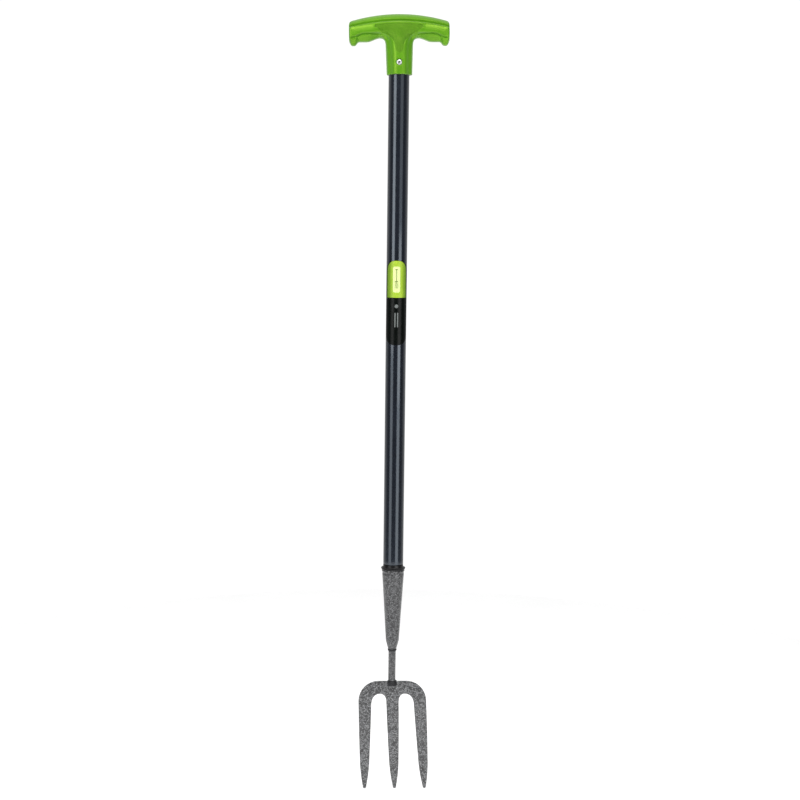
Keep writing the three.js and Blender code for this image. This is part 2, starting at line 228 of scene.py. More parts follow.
def surface_net(field, low, high, step, snaps=4):
    """Closed quad mesh of the surface where field(x, y, z) is zero; the field is negative inside."""
    axes = [np.arange(low[i] - step, high[i] + 2 * step, step) for i in range(3)]
    grid = np.meshgrid(*axes, indexing="ij", sparse=True)
    value = np.asarray(field(*grid), np.float64)
    inside = value < 0
    n = [len(a) - 1 for a in axes]
    corners = [(a, b, c) for a in (0, 1) for b in (0, 1) for c in (0, 1)]
    view = {k: inside[k[0]:k[0] + n[0], k[1]:k[1] + n[1], k[2]:k[2] + n[2]] for k in corners}
    count = sum(v.astype(np.int8) for v in view.values())
    cells = np.argwhere((count > 0) & (count < 8))
    index = np.full(n, -1, np.int64)
    index[tuple(cells.T)] = np.arange(len(cells))

    total = np.zeros((len(cells), 3))
    hits = np.zeros(len(cells))
    for axis in range(3):
        for k in corners:
            if k[axis]:
                continue
            other = list(k)
            other[axis] = 1
            a = value[tuple((cells + k).T)]
            b = value[tuple((cells + other).T)]
            cross = (a < 0) != (b < 0)
            t = np.where(cross, a / np.where(cross, a - b, 1), 0)
            place = np.tile(np.array(k, float), (len(cells), 1))
            place[:, axis] = t
            total += np.where(cross[:, None], place, 0)
            hits += cross
    origin = np.array([a[0] for a in axes])
    points = origin + step * (cells + total / hits[:, None])

    quads = []
    for axis in range(3):
        u, v = (axis + 1) % 3, (axis + 2) % 3
        first = np.moveaxis(inside, axis, 0)[:-1]
        second = np.moveaxis(inside, axis, 0)[1:]
        edges = np.argwhere(np.moveaxis(first != second, 0, axis))
        leaving = np.moveaxis(first, 0, axis)[tuple(edges.T)]
        ring = []
        for du, dv in ((-1, -1), (0, -1), (0, 0), (-1, 0)):
            cell = edges.copy()
            cell[:, u] += du
            cell[:, v] += dv
            ring.append(index[tuple(cell.T)])
        ring = np.stack(ring, 1)
        ring[~leaving] = ring[~leaving][:, ::-1]
        quads.append(ring)
    faces = np.concatenate(quads)

    h = 0.2 * step
    for _ in range(snaps):
        f = field(*points.T)
        slope = np.stack(
            [field(*(points + h * e).T) - field(*(points - h * e).T) for e in np.eye(3)], 1
        ) / (2 * h)
        size = np.maximum((slope ** 2).sum(1), 0.05)
        move = -(f / size)[:, None] * slope
        length = np.linalg.norm(move, axis=1, keepdims=True)
        points = points + move * np.minimum(1, 0.35 * step / np.maximum(length, 1e-9))
    return points, faces


def revolve(name, profile, segments=96, closed=False, sharp_deg=38, place=None):
    """Turns a profile of (radius, height) round Z. The profile runs so that its left side is outside."""
    rings = []
    points = []
    for r, z in profile:
        if r < 1e-6:
            rings.append([len(points)])
            points.append((0.0, 0.0, z))
            continue
        rings.append(list(range(len(points), len(points) + segments)))
        for s in range(segments):
            a = 2 * math.pi * s / segments
            points.append((r * math.cos(a), r * math.sin(a), z))
    faces = []
    pairs = list(zip(rings, rings[1:]))
    if closed:
        pairs.append((rings[-1], rings[0]))
    for lower, upper in pairs:
        for s in range(segments):
            t = (s + 1) % segments
            if len(lower) == 1 and len(upper) == 1:
                break
            if len(lower) == 1:
                faces.append((lower[0], upper[t], upper[s]))
            elif len(upper) == 1:
                faces.append((lower[s], lower[t], upper[0]))
            else:
                faces.append((lower[s], lower[t], upper[t], upper[s]))
    points = np.array(points)
    if place is not None:
        points = points @ place[:3, :3].T + place[:3, 3]
    return mesh_object(name, points, faces, sharp_deg)


def sweep(name, path, radius, segments=40, cap_round=0.8):
    """A round bar along a path in the YZ plane, its ends slightly rounded."""
    path = np.array(path, float)
    tangent = np.gradient(path, axis=0)
    tangent /= np.linalg.norm(tangent, axis=1, keepdims=True)
    side = np.array([1.0, 0.0, 0.0])
    points = []
    for p, t in zip(path, tangent):
        other = np.cross(t, side)
        for k in range(segments):
            a = 2 * math.pi * k / segments
            points.append(p + radius * (math.cos(a) * side + math.sin(a) * other))
    rows = len(path)
    faces = []
    for i in range(rows - 1):
        for k in range(segments):
            m = (k + 1) % segments
            row, above = i * segments, (i + 1) * segments
            faces.append((row + k, above + k, above + m, row + m))
    for row, direction in ((0, -1), (rows - 1, 1)):
        ring = list(range(row * segments, (row + 1) * segments))
        start = len(points)
        other = np.cross(tangent[row], side)
        centre = path[row] + direction * tangent[row] * cap_round
        for k in range(segments):
            a = 2 * math.pi * k / segments
            points.append(centre + (radius - cap_round) * (math.cos(a) * side + math.sin(a) * other))
        inner = list(range(start, start + segments))
        for k in range(segments):
            m = (k + 1) % segments
            quad = (ring[k], ring[m], inner[m], inner[k])
            faces.append(quad if direction > 0 else quad[::-1])
        faces.append(tuple(inner) if direction > 0 else tuple(inner[::-1]))
    return mesh_object(name, points, faces, 50)


def add_attribute(obj, name, values):
    layer = obj.data.attributes.new(name, "FLOAT", "POINT")
    layer.data.foreach_set("value", np.asarray(values, np.float32))


def finish_piece(obj, material, slot, *nodes):
    """Gives a piece its material, hangs it under the root body and hides the CAD nodes it stands for."""
    obj.data.materials.clear()
    obj.data.materials.append(material)
    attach(obj, "root")
    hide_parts(*nodes)


# ---------------------------------------------------------------- material tools

class Shader:
    """A principled material and short calls to add nodes to it."""

    def __init__(self, name, **settings):
        self.material = bpy.data.materials.new(name)
        self.material.use_nodes = True
        self.tree = self.material.node_tree
        self.surface = self.tree.nodes["Principled BSDF"]
        for key, value in settings.items():
            self.surface.inputs[key.replace("_", " ")].default_value = value
        self.position = self.node("ShaderNodeTexCoord").outputs["Object"]

    def node(self, kind, inputs=None, **settings):
        made = self.tree.nodes.new(kind)
        for key, value in settings.items():
            setattr(made, key, value)
        for key, value in (inputs or {}).items():
            self.put(made.inputs[key], value)
        return made

    def put(self, socket, value):
        if isinstance(value, bpy.types.NodeSocket):
            self.tree.links.new(value, socket)
        elif isinstance(value, bpy.types.Node):
            self.tree.links.new(value.outputs[0], socket)
        else:
            socket.default_value = value

    def math(self, operation, a, b=0.0, c=0.0):
        return self.node("ShaderNodeMath", {0: a, 1: b, 2: c}, operation=operation).outputs[0]

    def ramp(self, value, low, high, low_out=0.0, high_out=1.0):
        made = self.node("ShaderNodeMapRange", interpolation_type="SMOOTHSTEP")
        for key, v in (("Value", value), ("From Min", low), ("From Max", high), ("To Min", low_out),
                       ("To Max", high_out)):
            self.put(made.inputs[key], v)
        return made.outputs["Result"]

    def noise(self, size_mm, detail=3.0, roughness=0.55):
        made = self.node("ShaderNodeTexNoise", {
            "Vector": self.position, "Scale": 1 / (size_mm * MM), "Detail": detail, "Roughness": roughness,
        })
        return made.outputs["Fac"]

    def cells(self, size_mm, feature, vector):
        return self.node("ShaderNodeTexVoronoi", {"Vector": vector, "Scale": 1 / (size_mm * MM)},
                         feature=feature)

    def mix(self, factor, a, b):
        made = self.node("ShaderNodeMix", data_type="RGBA")
        self.put(made.inputs["Factor"], factor)
        self.put(made.inputs["A"], a)
        self.put(made.inputs["B"], b)
        return made.outputs["Result"]

    def axes(self):
        made = self.node("ShaderNodeSeparateXYZ", {0: self.position})
        return made.outputs["X"], made.outputs["Y"], made.outputs["Z"]

    def bump(self, height, depth_mm, previous=None):
        made = self.node("ShaderNodeBump", {"Height": height, "Distance": depth_mm * MM, "Strength": 1.0})
        if previous is not None:
            self.put(made.inputs["Normal"], previous)
        return made.outputs["Normal"]

    def set(self, **sockets):
        for key, value in sockets.items():
            self.put(self.surface.inputs[key.replace("_", " ")], value)


def rgb(r, g, b):
    return (r, g, b, 1.0)


# ---------------------------------------------------------------- materials

def grip_plastic():
    """Moulded green plastic: glossy with a faint orange peel, and a fine diamond grid on the panel."""
    m = Shader("grip_plastic", Specular_IOR_Level=0.9, IOR=1.49, Sheen_Weight=0.85, Sheen_Roughness=0.35)
    m.set(Sheen_Tint=rgb(0.75, 1.0, 0.5))
    m.set(Specular_Tint=rgb(0.75, 1.0, 0.15))
    panel = m.node("ShaderNodeAttribute", attribute_name="panel").outputs["Fac"]
    x, y, z = m.axes()
    pitch = 1.7 * MM
    waves = []
    for sign in (1.0, -1.0):
        slant = m.math("MULTIPLY_ADD", z, sign, x)
        waves.append(m.math("PINGPONG", slant, pitch / 2))
    grid = m.math("MINIMUM", *waves)
    grid = m.math("DIVIDE", grid, pitch / 2)
    grid_height = m.math("MULTIPLY", m.ramp(grid, 0.05, 0.6), panel)
    peel = m.noise(1.1, 2.0)
    flow = m.noise(22, 3.0, 0.5)
    speck = m.noise(0.35, 2.0)
    shade = m.mix(m.ramp(flow, 0.3, 0.7), rgb(0.083, 0.27, 0.0085), rgb(0.095, 0.30, 0.011))
    # painted shade: the diamond grid's grooves on the panel are darkened in the base colour
    groove = m.math("MULTIPLY", m.math("SUBTRACT", 1.0, m.ramp(grid, 0.0, 0.5)), panel)
    shade = m.mix(m.math("MULTIPLY", groove, 0.85), shade, rgb(0.045, 0.16, 0.005))
    m.set(Base_Color=shade)
    rough = m.math("MULTIPLY_ADD", panel, 0.08, m.ramp(speck, 0.2, 0.8, 0.25, 0.34))
    m.set(Roughness=rough)
    seam = m.ramp(m.math("ABSOLUTE", y), 0.0, 0.22 * MM, 1.0, 0.0)
    n = m.bump(grid_height, 0.24)
    n = m.bump(peel, 0.03, n)
    n = m.bump(seam, 0.06, n)
    m.set(Normal=n)
    return m.material


def hammer_paint(name="hammer_paint", dark=0.0):
    """Grey hammered enamel: flattened cells parted by sunken veins; dark makes it darker and duller."""
    m = Shader(name, IOR=1.5, Specular_IOR_Level=0.35 - 0.25 * dark)
    m.set(Coat_Weight=1.0 - 0.9 * dark, Coat_Roughness=0.13)
    cell_size, warp_size, warp_reach = 1.7, 3.0, 2.2
    warp = m.node("ShaderNodeTexNoise",
                  {"Vector": m.position, "Scale": 1 / (warp_size * MM), "Detail": 2.0})
    shift = m.node("ShaderNodeVectorMath", {0: warp.outputs["Color"], 1: (0.5, 0.5, 0.5)},
                   operation="SUBTRACT").outputs[0]
    shift = m.node("ShaderNodeVectorMath", {0: shift}, operation="SCALE")
    shift.inputs["Scale"].default_value = warp_reach * MM
    where = m.node("ShaderNodeVectorMath", {0: m.position, 1: shift}, operation="ADD").outputs[0]
    cell = m.cells(cell_size, "F1", where)
    edge = m.cells(cell_size, "DISTANCE_TO_EDGE", where).outputs["Distance"]
    fine = m.noise(0.9, 3.0)
    vein = m.ramp(m.math("MULTIPLY_ADD", fine, 0.10, edge), 0.06, 0.26)
    tone = m.node("ShaderNodeSeparateColor", {0: cell.outputs["Color"]}).outputs[0]
    tone = m.math("MULTIPLY_ADD", fine, 0.7, m.math("MULTIPLY", tone, 0.6))
    cell_shade = m.mix(m.ramp(tone, 0.32, 0.80), rgb(0.006, 0.0062, 0.007), rgb(0.215, 0.218, 0.225))
    shade = m.mix(vein, rgb(0.004, 0.0042, 0.005), cell_shade)
    if dark:
        shade = m.mix(dark, shade, rgb(0.012, 0.012, 0.014))
    m.set(Base_Color=shade)
    m.set(Roughness=m.ramp(vein, 0.0, 1.0, 0.5, 0.26))
    dome = m.ramp(edge, 0.0, 0.45)
    n = m.bump(dome, 0.15)
    n = m.bump(fine, 0.04, n)
    m.set(Normal=n)
    return m.material


def shaft_paint():
    """Gloss charcoal powder coat with a slight orange peel."""
    m = Shader("shaft_paint", IOR=1.5)
    m.set(Coat_Weight=0.8, Coat_Roughness=0.1, Specular_Tint=rgb(0.6, 0.8, 1.0))
    flow = m.noise(40, 2.0)
    m.set(Base_Color=m.mix(m.ramp(flow, 0.3, 0.7), rgb(0.0048, 0.0058, 0.0098), rgb(0.007, 0.0082, 0.013)))
    m.set(Roughness=m.ramp(m.noise(6, 3.0), 0.2, 0.8, 0.16, 0.24))
    n = m.bump(m.noise(1.6, 2.0, 0.4), 0.012)
    m.set(Normal=m.bump(m.noise(0.25, 1.0), 0.002, n))
    return m.material


def bush_plastic():
    """Black moulded plastic with a slight sheen."""
    m = Shader("bush_plastic", IOR=1.49, Specular_IOR_Level=0.3)
    flow = m.ramp(m.noise(5, 3.0), 0.3, 0.7)
    m.set(Base_Color=m.mix(flow, rgb(0.004, 0.004, 0.0045), rgb(0.009, 0.009, 0.01)))
    m.set(Roughness=m.ramp(m.noise(0.8, 3.0), 0.3, 0.7, 0.22, 0.32))
    m.set(Normal=m.bump(m.noise(0.5, 2.0), 0.02))
    return m.material


def bright_metal():
    """Drawn aluminium of a blind rivet."""
    m = Shader("rivet_aluminium", Metallic=1.0)
    cloud = m.ramp(m.noise(1.2, 3.0), 0.3, 0.7)
    m.set(Base_Color=m.mix(cloud, rgb(0.52, 0.53, 0.55), rgb(0.62, 0.62, 0.63)))
    m.set(Roughness=m.ramp(m.noise(0.4, 3.0), 0.3, 0.7, 0.3, 0.42))
    m.set(Normal=m.bump(m.noise(0.3, 2.0), 0.01))
    return m.material


def mandrel_steel():
    """Dull broken steel of the rivet's pin."""
    m = Shader("mandrel_steel", Metallic=0.9)
    cloud = m.ramp(m.noise(0.7, 3.0), 0.3, 0.7)
    m.set(Base_Color=m.mix(cloud, rgb(0.10, 0.10, 0.11), rgb(0.22, 0.22, 0.23)))
    m.set(Roughness=m.ramp(m.noise(0.4, 3.0), 0.3, 0.7, 0.4, 0.6))
    m.set(Normal=m.bump(m.noise(0.25, 2.0), 0.05))
    return m.material


def label_film():
    """Black film, lime in its upper half with a plain fork sign on a pale panel, and grey shapes below."""
    m = Shader("label_film", IOR=1.5, Specular_IOR_Level=0.16)
    x, y, z = m.axes()
    around = m.math("MULTIPLY", m.math("ARCTAN2", x, m.math("MULTIPLY", y, -1.0)), LABEL_R)

    def box_mask(cx, cz, half_x, half_z, radius, soft=0.12):
        """1 inside a rounded rectangle on the film, sizes in millimetres."""
        dx = m.math("SUBTRACT", m.math("ABSOLUTE", m.math("SUBTRACT", around, cx)), half_x - radius)
        dz_mm = m.math("DIVIDE", m.math("SUBTRACT", z, cz * MM), MM)
        dz = m.math("SUBTRACT", m.math("ABSOLUTE", dz_mm), half_z - radius)
        out_x = m.math("MAXIMUM", dx, 0.0)
        out_z = m.math("MAXIMUM", dz, 0.0)
        squares = m.math("ADD", m.math("MULTIPLY", out_x, out_x), m.math("MULTIPLY", out_z, out_z))
        out = m.math("SQRT", squares)
        inner = m.math("MINIMUM", m.math("MAXIMUM", dx, dz), 0.0)
        far = m.math("SUBTRACT", m.math("ADD", out, inner), radius)
        return m.ramp(far, -soft, soft, 1.0, 0.0)

    z_mm = m.math("DIVIDE", z, MM)
    print_top, print_half_z = LABEL_HIGH[2] - 0.2, 40
    upper = m.math("MULTIPLY", m.ramp(z_mm, LABEL_SPLIT - 0.15, LABEL_SPLIT + 0.15),
                   box_mask(0.0, print_top - print_half_z, PRINT_HALF, print_half_z, PRINT_CORNER))
    lime = m.mix(m.ramp(m.noise(9, 2.0), 0.3, 0.7), rgb(0.33, 0.50, 0.035), rgb(0.37, 0.54, 0.045))
    # painted shade: the lime darkens towards the label's sides, as if the film turned away from the light
    side_shade = m.ramp(m.math("ABSOLUTE", m.math("SUBTRACT", around, 0.6)), 3.5, 12.0)
    green = m.mix(side_shade, lime, rgb(0.15, 0.27, 0.02))
    cloud = m.ramp(m.noise(14, 2.0), 0.3, 0.7)
    black = m.mix(cloud, rgb(0.0004, 0.0013, 0.0008), rgb(0.0008, 0.002, 0.0013))
    shade = m.mix(upper, black, green)
    pill_x, pill_z = -0.2, 658
    shade = m.mix(box_mask(pill_x, pill_z, 4.5, 16, 2.6), shade, rgb(0.68, 0.78, 0.33))
    # a plain fork sign, standing on its tines
    sign = [box_mask(pill_x, pill_z + 5.0, 0.35, 7.0, 0.3)]
    sign.append(box_mask(pill_x, pill_z + 12.2, 1.6, 0.5, 0.4))
    sign.append(box_mask(pill_x, pill_z - 2.4, 1.9, 0.4, 0.3))
    for tine_x in (-1.8, -0.2, 1.4):
        sign.append(box_mask(tine_x, pill_z - 6.6, 0.28, 4.4, 0.25))
    for part in sign:
        shade = m.mix(part, shade, rgb(0.09, 0.13, 0.02))
    # a plain disc over two plain strokes
    grey = rgb(0.16, 0.175, 0.17)
    disc_z, disc_r, stroke_z = 625.0, 2.2, 608.0
    shade = m.mix(box_mask(0.0, disc_z, disc_r, disc_r, disc_r), shade, grey)
    for stroke_x in (-1.6, 1.6):
        shade = m.mix(box_mask(stroke_x, stroke_z, 0.7, 9.0, 0.6), shade, grey)
    m.set(Base_Color=shade)
    m.set(Roughness=m.ramp(m.noise(3, 3.0), 0.3, 0.7, 0.27, 0.34))
    m.set(Normal=m.bump(m.noise(2.5, 2.0), 0.012))
    return m.material


# ---------------------------------------------------------------- grip

def bar_top(ax):
    """Height of the bar's top line at distance ax from the middle."""
    return TOP - BAR_CROWN * (ax / BAR_HALF) ** 2


def bar_under(ax):
    """Height of the bar's underside: it drops outwards in two steps and rises a little at the end."""
    return (950.9 - 4.7 * smoothstep(23, 40, ax) - 4.6 * smoothstep(49, 54.5, ax)
            + 3.2 * smoothstep(57, 61.5, ax) ** 1.3)


def groove_line(ax):
    """How far the groove under the rim lies below the bar's top line."""
    return -8.3 + 1.4 * (ax / 56) ** 2


def flute_line(z):
    """Distance from the middle to the flute beside the funnel; it swings outwards under the bar."""
    return 10.8 + 10.4 * np.exp(np.minimum(z - 956, 0) / 6)


def groove_shape(s):
    """Cross profile of the groove: a long wall falling in under the rim, a short one rising again."""
    return smoothstep(2.2, -0.9, s) * (1 - smoothstep(-0.9, -2.0, s))


def panel_mask(x, z):
    """1 inside the sunk panel: a broad band under the rim that runs down the stem in a funnel."""
    ax = np.abs(x)
    head = np.maximum(ax - PANEL_HALF, z - bar_top(ax) - groove_line(ax) + 3.6)
    head = np.maximum(head, PANEL_LOW + 6 * smoothstep(19.5, PANEL_HALF, ax) - z)
    width = 4.0 + 15.5 * np.exp(np.minimum(z - PANEL_LOW, 0) / 6.5)
    tip = PANEL_TIP + 0.9 * ax
    funnel = np.maximum(np.maximum(ax - width, z - PANEL_LOW - 1), tip - z)
    return 1 - smoothstep(-0.35, 0.35, np.minimum(head, funnel))


def grip_frame(x, z):
    """Coordinates in the grip's own frame: it sits slightly canted on the tube."""
    up = z - GRIP_PIVOT
    return x * math.cos(GRIP_CANT) + up * math.sin(GRIP_CANT), (
        up * math.cos(GRIP_CANT) - x * math.sin(GRIP_CANT) + GRIP_PIVOT)


def grip_field(x0, y, z0):
    """Bar and stem with their reliefs, then the cuts at ends and bottom, the bore and the rivet pocket."""
    x, z = grip_frame(x0, z0)
    ax, ay = np.abs(x), np.abs(y)
    top, under = bar_top(ax), bar_under(ax)
    depth = BAR_DEPTH + (BAR_END_DEPTH - BAR_DEPTH) * (ax / BAR_HALF) ** 2
    bar = rounded_box_field(ay, depth, np.abs(z - (top + under) / 2), (top - under) / 2, BAR_CORNER)
    rho = np.hypot(x, y)
    stem_r = STEM_LOW_R + STEM_FLARE * (z - STEM_BOTTOM) - 3.4 * smoothstep(944, 964, z)
    stem = smooth_max(rho - stem_r, z - 966, 8)
    body = smooth_min(bar, stem, 8.5)

    side = smoothstep(4, 9, ay)
    under_groove = z - top - groove_line(ax)
    body = body + GROOVE_DEPTH * groove_shape(under_groove) * side
    body = body + PANEL_DEPTH * panel_mask(x, z) * smoothstep(PANEL_TIP + 1, PANEL_TIP + 22, z) * side
    rise = np.clip((under_groove + 10) / 9, 0, 1) ** 2 * smoothstep(-0.9, -3.2, under_groove)
    scoop = rise * smoothstep(PANEL_HALF + 1.2, PANEL_HALF + 3, ax) * (1 - smoothstep(54, 60, ax))
    body = body + SCOOP_DEPTH * scoop * side
    flute = np.exp(-((ax - flute_line(z)) / 2.7) ** 2) * (1 - smoothstep(952, 957, z))
    body = body + FLUTE_DEPTH * flute * side
    ledge = LEDGE_Z - 4.4 * smoothstep(42, 57, ax)
    lobe = (1 - smoothstep(ledge - 1.1, ledge + 0.9, z)) * smoothstep(20, 27, ax)
    undercut = groove_shape(z - ledge) * smoothstep(20, 27, ax)
    body = body + (LOBE_DEPTH * lobe + UNDERCUT_DEPTH * undercut) * (1 - smoothstep(56.5, 60, ax)) * side

    body = smooth_max(body, ax - BAR_HALF, 3.6)
    body = smooth_max(body, STEM_BOTTOM - z, 1.2)
    bore = np.maximum(np.hypot(x0, y) - BORE_R, z0 - BORE_TOP)
    body = smooth_max(body, -bore, 0.5)
    across = np.hypot(x0, z0 - GRIP_RIVET_Z)
    body = smooth_max(body, -np.maximum(across - POCKET_R, y + POCKET_FLOOR), 0.4)
    return smooth_max(body, -np.maximum(across - RIVET_HOLE_R, y + 9), 0.3)


def make_grip():
    step = 0.5
    points, faces = surface_net(grip_field, GRIP_LOW - 1, GRIP_HIGH + 1, step)
    grip = mesh_object("grip", points, faces)
    own_x, own_z = grip_frame(points[:, 0], points[:, 2])
    add_attribute(grip, "panel", panel_mask(own_x, own_z) * smoothstep(6, 9, np.abs(points[:, 1])))
    finish_piece(grip, grip_plastic(), "grip_plastic", "t_grip")


# ---------------------------------------------------------------- rivets

def facing(z, out, back=False):
    """Lays a turned piece along Y with its head outwards, z = 0 of its profile at distance out."""
    turn = Matrix.Rotation(math.radians(90), 4, "X")
    if back:
        turn = Matrix.Rotation(math.pi, 4, "Z") @ turn
    shift = Matrix.Translation((0, out if back else -out, z))
    return np.array(shift @ turn)


def make_rivet(prefix, z, seat, reach, head_r, back, metal, steel):
    """Blind rivet: domed head with a small crater, shank and bulb, and the snapped mandrel inside it."""
    hole = 1.15
    bulb = [(hole, -reach), (2.5, -reach), (3.0, -reach + 1), (2.6, -reach + 2), (2.1, -reach + 2.5)]
    shank = [(2.1, 0.0), (head_r - 0.25, 0.0)]
    dome = [(head_r, 0.25), (head_r - 0.12, 0.6), (head_r * 0.78, 1.0), (head_r * 0.5, 1.2),
            (hole + 0.35, 1.25), (hole, 1.05), (hole, -reach + 0.4)]
    body = revolve(prefix + "_body", fillet(bulb + shank + dome + bulb[:1], 0.25, 3)[:-1], 48, closed=True,
                   place=facing(z, seat, back))
    finish_piece(body, metal, "rivet_aluminium", prefix + "_body")
    pin = fillet([(0, -reach - 2.4), (1.3, -reach - 2.3), (1.75, -reach - 1.4), (1.4, -reach - 0.2),
                  (0.98, -reach - 0.1), (0.98, 0.35), (0.6, 0.62), (0.25, 0.5), (0, 0.55)], 0.2, 3)
    mandrel = revolve(prefix + "_mandrel", pin, 32, place=facing(z, seat, back))
    finish_piece(mandrel, steel, "mandrel_steel", prefix + "_mandrel")


# ---------------------------------------------------------------- shaft, label, bush, socket

def spigot_radius(z):
    t = (z - TUBE_LOW[2]) / (SOCKET_HIGH[2] - TUBE_LOW[2])
    return SPIGOT_END_R + t * (SPIGOT_TOP_R - SPIGOT_END_R)


def socket_radius(z):
    t = (z - SOCKET_SHOULDER) / (SOCKET_HIGH[2] - SOCKET_SHOULDER)
    return SOCKET_SHOULDER_R + t * (SOCKET_TOP_R - SOCKET_SHOULDER_R)


def make_shaft():
    low, top = TUBE_LOW[2], TUBE_HIGH[2]
    inner = TUBE_R - TUBE_WALL
    outline = [
        (spigot_radius(low), low), (spigot_radius(TUBE_SHOULDER), TUBE_SHOULDER),
        (TUBE_R, TUBE_SHOULDER + 0.4),
        (TUBE_R, TUBE_SHOULDER + 8), (TUBE_R, top), (inner, top), (inner, TUBE_SHOULDER + 5),
        (spigot_radius(low) - TUBE_WALL, low),
    ]
    profile = fillet(outline, [0, 0.6, 0.4, 0, 0.3, 0.3, 2, 0], 5)
    shaft = revolve("shaft", profile, 128, closed=True)
    finish_piece(shaft, shaft_paint(), "shaft_paint", "shaft_tube")


def make_label():
    """A sheet bent round the front of the tube, with rounded corners."""
    half_turn = math.radians(LABEL_HALF_DEG)
    low, high = LABEL_LOW[2], LABEL_HIGH[2]
    outer = LABEL_R + LABEL_THICK
    corner = [LABEL_CORNER * (1 - math.cos(a)) for a in np.linspace(0, math.pi / 2, 14)]
    rows = [low + c for c in corner] + list(np.linspace(low + LABEL_CORNER, high - LABEL_CORNER, 40)[1:-1])
    rows += [high - c for c in reversed(corner)]
    columns = 48
    points, faces = [], []
    for radius in (outer, LABEL_R):
        for z in rows:
            gap = LABEL_CORNER - min(z - low, high - z, LABEL_CORNER)
            inset = LABEL_CORNER - math.sqrt(LABEL_CORNER ** 2 - gap ** 2)
            reach = half_turn - inset / outer
            for c in range(columns + 1):
                a = reach * (2 * c / columns - 1)
                points.append((radius * math.sin(a), -radius * math.cos(a), z))
    row, sheet = columns + 1, (columns + 1) * len(rows)
    for i in range(len(rows) - 1):
        for c in range(columns):
            a, b, d, e = i * row + c, i * row + c + 1, (i + 1) * row + c + 1, (i + 1) * row + c
            faces.append((a, b, d, e))
            faces.append((sheet + e, sheet + d, sheet + b, sheet + a))
        for c, flip in ((0, False), (columns, True)):
            a, b = i * row + c, (i + 1) * row + c
            quad = (sheet + a, a, b, sheet + b)
            faces.append(quad[::-1] if flip else quad)
    last = (len(rows) - 1) * row
    for c in range(columns):
        faces.append((sheet + c, sheet + c + 1, c + 1, c))
        faces.append((last + c, last + c + 1, sheet + last + c + 1, sheet + last + c))
    label = mesh_object("label", points, faces, 40)
    finish_piece(label, label_film(), "label_film", "shaft_label")


def make_bush():
    """Black ring between tube and socket: a collar as wide as the tube over a thin lip."""
    top, low = BUSH_HIGH[2], BUSH_LOW[2]
    under = SOCKET_HIGH[2] + 0.3
    skirt = lambda z: socket_radius(z) - SOCKET_WALL - 0.2
    bore = lambda z: spigot_radius(z) + 0.2
    outline = [
        (skirt(low), low), (skirt(under), under), (SOCKET_TOP_R + 0.2, under),
        (SOCKET_TOP_R + 0.4, under + 0.4),
        (BUSH_HIGH[0] - 0.2, under + 0.7), (BUSH_HIGH[0], under + 1.6), (TUBE_R + 1.4, under + 2.3),
        (TUBE_R + 0.05, under + 3.2), (TUBE_R - 0.05, top), (bore(top), top), (bore(low), low),
    ]
    profile = fillet(outline, [0, 0.3, 0.4, 0.3, 0.3, 0.6, 0.6, 0.6, 0.5, 0.3, 0], 4)
    bush = revolve("bush", profile, 128, closed=True)
    finish_piece(bush, bush_plastic(), "bush_plastic", "shaft_bush")


def socket_field(x, y, z):
    """Rolled cone with a beaded mouth, a drawn-in foot and an open seam at the back."""
    rho = np.hypot(x, y)
    top, foot = SOCKET_HIGH[2], SOCKET_LOW[2]
    outer_r = np.where(z > SOCKET_SHOULDER, socket_radius(z), SOCKET_SHOULDER_R)
    draw = np.clip((SOCKET_SHOULDER - 1 - z) / (SOCKET_SHOULDER - 1 - foot), 0, 1) ** 1.25
    outer_r = outer_r + (NECK_R + 0.6 - SOCKET_SHOULDER_R) * draw
    bead = 0.45 * np.exp(-((z - (top - 1.6)) / 0.9) ** 2)
    neck_in = -0.25 * np.exp(-((z - (top - 4.2)) / 1.4) ** 2)
    outer = rho - outer_r - bead - neck_in
    outer = smooth_max(outer, z - top, 0.6)
    outer = smooth_max(outer, foot - z, 0.6)
    inner_r = np.maximum(socket_radius(z) - SOCKET_WALL, NECK_R + 0.1)
    inner_r = np.where(z < SOCKET_SHOULDER - 1, NECK_R + 0.1, inner_r)
    wall = smooth_max(outer, inner_r - rho, 0.3)
    seam = np.maximum(np.maximum(np.abs(x) - 0.4, -y), SEAM_END - z)
    wall = smooth_max(wall, -seam, 0.5)
    hole = np.maximum(np.hypot(x, z - SOCKET_RIVET_Z) - RIVET_HOLE_R, -y)
    return smooth_max(wall, -hole, 0.3)


def make_socket(paint):
    step = 0.5
    points, faces = surface_net(socket_field, SOCKET_LOW - 1, SOCKET_HIGH + 1, step)
    socket = mesh_object("socket_cone", points, faces)
    finish_piece(socket, paint, "hammer_paint", "socket")


# ---------------------------------------------------------------- neck, head and welds

def neck_path():
    """Middle line of the neck: straight out of the socket, then an easy S set back to the head."""
    top, foot = NECK_HIGH[2], HEAD_TOP + 0.6
    start, end = np.array([0, 0, NECK_BEND_TOP]), np.array([0, NECK_SET_BACK, foot + 8])
    handle_a, handle_b = np.array([0, 0, NECK_HANDLE_TOP]), np.array([0, NECK_SET_BACK, NECK_HANDLE_LOW])
    path = [np.array([0, 0, z]) for z in np.linspace(top, NECK_BEND_TOP + 1, 8)]
    for t in np.linspace(0, 1, 30):
        path.append((1 - t) ** 3 * start + 3 * t * (1 - t) ** 2 * handle_a + 3 * t * t * (1 - t) * handle_b
                    + t ** 3 * end)
    path += [np.array([0, NECK_SET_BACK, z]) for z in np.linspace(foot + 7, foot + 0.8, 5)]
    return path


def make_neck(paint):
    neck = sweep("neck_bar", neck_path(), NECK_R)
    finish_piece(neck, paint, "hammer_paint", "neck")


def bezier(points, steps):
    """Points along a quadratic or cubic curve, without its first point."""
    pts = [np.array(p, float) for p in points]
    out = []
    for t in np.linspace(0, 1, steps + 1)[1:]:
        row = pts
        while len(row) > 1:
            row = [a * (1 - t) + b * t for a, b in zip(row, row[1:])]
        out.append(row[0])
    return out


